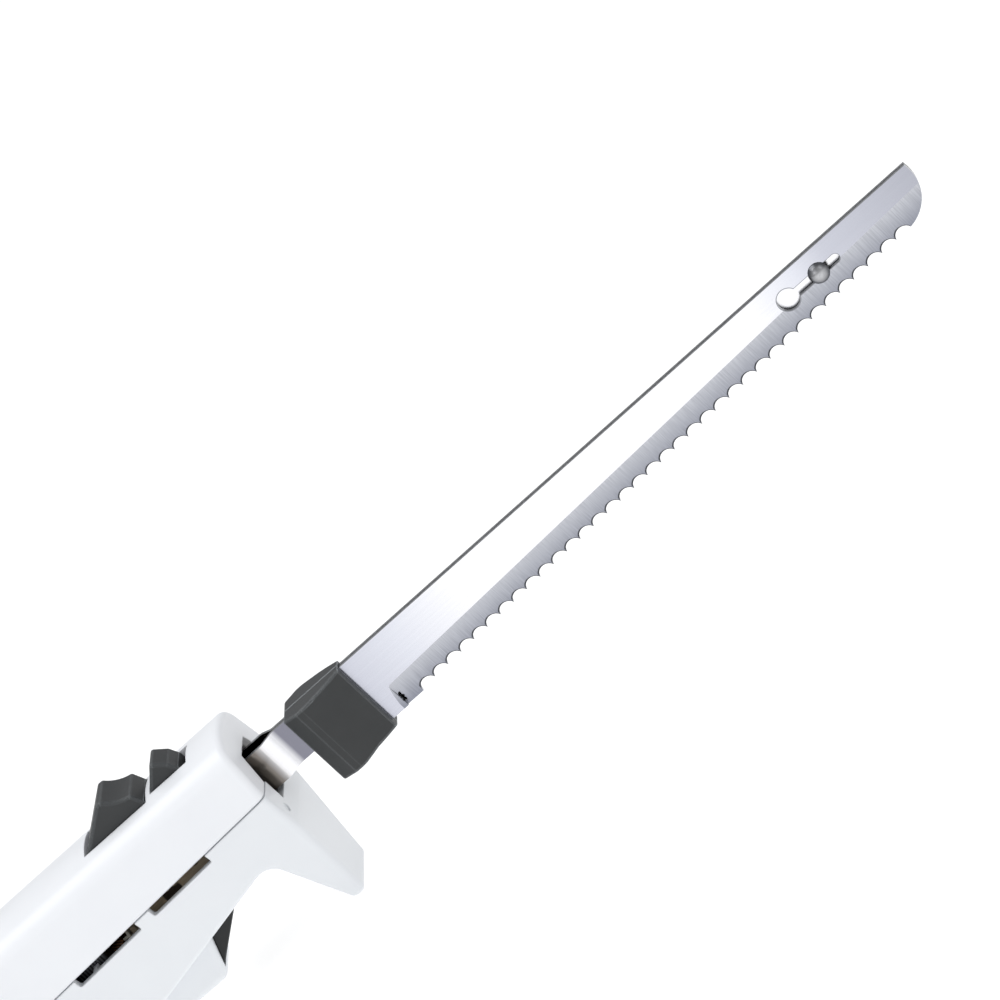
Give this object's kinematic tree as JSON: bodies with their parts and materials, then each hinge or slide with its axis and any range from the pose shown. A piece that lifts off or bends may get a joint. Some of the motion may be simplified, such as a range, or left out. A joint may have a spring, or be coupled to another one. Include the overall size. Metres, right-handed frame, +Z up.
{
  "type": "electric carving knife",
  "caption": "Hand-held electric carving knife: motor handle with guard, trigger and two buttons, and a pair of serrated blades in grip collars.",
  "frame": {"origin": "under the middle of the knife, on the surface that the guard's tip and the heel of the handle stand on", "axes": "+X along the blades towards their tip, +Z up, towards the buttons"},
  "size_m": [0.4415, 0.0416, 0.0673],
  "materials": {
    "shell_plastic": "moulded, lightly polished",
    "button_plastic": "moulded, finely textured",
    "collar_plastic": "moulded, finely textured",
    "blade_steel": "rolled, ground along the teeth",
    "rivet_steel": "cold headed",
    "screw_steel": "zinc plated",
    "spring_steel": "drawn and hardened",
    "shaft_steel": "ground",
    "gear_nylon": "moulded",
    "frame_nylon": "moulded",
    "bush_bronze": "sintered",
    "lamination_iron": "stacked sheet",
    "winding_copper": "enamelled wire",
    "holder_brass": "folded strip",
    "brush_carbon": "pressed carbon",
    "switch_plastic": "moulded",
    "gland_rubber": "moulded"
  },
  "bodies": {
    "handle": {"top_shell": "shell_plastic", "bottom_shell": "shell_plastic", "housing_screws": "screw_steel", "cord_gland": "gland_rubber", "gear_frame": "frame_nylon", "front_bush": "bush_bronze", "middle_bush": "bush_bronze", "rear_bush": "bush_bronze", "rear_bracket": "frame_nylon", "stator_core": "lamination_iron", "field_coils": "winding_copper", "carbon_brushes": "brush_carbon", "brush_holders": "holder_brass", "trigger_pin": "shaft_steel", "trigger_spring": "spring_steel", "microswitch": "switch_plastic", "release_spring": "spring_steel", "lock_spring": "spring_steel", "wheel_axle": "shaft_steel"},
    "near_arm": {"near_drive_arm": "gear_nylon", "near_blade_clip": "spring_steel"},
    "far_arm": {"far_drive_arm": "gear_nylon", "far_blade_clip": "spring_steel"},
    "near_knife": {"near_blade": "blade_steel", "near_blade_collar": "collar_plastic"},
    "far_knife": {"far_blade": "blade_steel", "far_blade_collar": "collar_plastic", "blade_rivet": "rivet_steel"},
    "rotor": {"motor_shaft": "shaft_steel", "drive_worm": "shaft_steel", "cooling_fan": "gear_nylon", "armature_core": "lamination_iron", "armature_winding": "winding_copper", "commutator": "winding_copper"},
    "wheel": {"worm_wheel": "gear_nylon"},
    "trigger_body": {"trigger": "button_plastic"},
    "plunger": {"switch_plunger": "switch_plastic"},
    "release_key": {"release_button": "button_plastic"},
    "lock_key": {"lock_button": "button_plastic"}
  },
  "joints": [
    {"name": "rotor_spin", "type": "hinge", "parent": "handle", "child": "rotor", "pos_m": [-0.0958, 0, 0.031], "axis": [1, 0, 0], "continuous": true},
    {"name": "wheel_spin", "type": "hinge", "parent": "handle", "child": "wheel", "pos_m": [-0.05375, 0, 0.043], "axis": [0, 1, 0], "continuous": true},
    {"name": "near_arm_slide", "type": "slide", "parent": "handle", "child": "near_arm", "axis": [1, 0, 0], "range_m": [-0.0025, 0.0025]},
    {"name": "far_arm_slide", "type": "slide", "parent": "handle", "child": "far_arm", "axis": [1, 0, 0], "range_m": [-0.0025, 0.0025]},
    {"name": "near_blade_slide", "type": "slide", "parent": "near_arm", "child": "near_knife", "axis": [1, 0, 0], "range_m": [0, 0.045]},
    {"name": "far_blade_slide", "type": "slide", "parent": "far_arm", "child": "far_knife", "axis": [1, 0, 0], "range_m": [0, 0.045]},
    {"name": "trigger_pull", "type": "hinge", "parent": "handle", "child": "trigger_body", "pos_m": [-0.04025, 0, 0.0282], "axis": [0, 1, 0], "range_deg": [0, 8], "stiffness_Nm_per_rad": 0.6, "springref_deg": -5.73, "deforming": ["trigger_spring"]},
    {"name": "plunger_push", "type": "slide", "parent": "handle", "child": "plunger", "axis": [-1, 0, 0], "range_m": [0, 0.00245]},
    {"name": "release_press", "type": "slide", "parent": "handle", "child": "release_key", "axis": [0, 0, -1], "range_m": [0, 0.0025], "stiffness_N_per_m": 500, "springref_m": -0.0015, "deforming": ["release_spring"]},
    {"name": "lock_press", "type": "slide", "parent": "handle", "child": "lock_key", "axis": [0, 0, -1], "range_m": [0, 0.003], "stiffness_N_per_m": 500, "springref_m": -0.0015, "deforming": ["lock_spring"]}
  ],
  "couplings": [
    {"joint": "wheel_spin", "follows": "rotor_spin", "ratio": 0.041667},
    {"joint": "far_arm_slide", "follows": "near_arm_slide", "ratio": -1},
    {"joint": "far_blade_slide", "follows": "near_blade_slide", "ratio": 1},
    {"joint": "plunger_push", "follows": "trigger_pull", "m_per_rad": 0.0175}
  ]
}
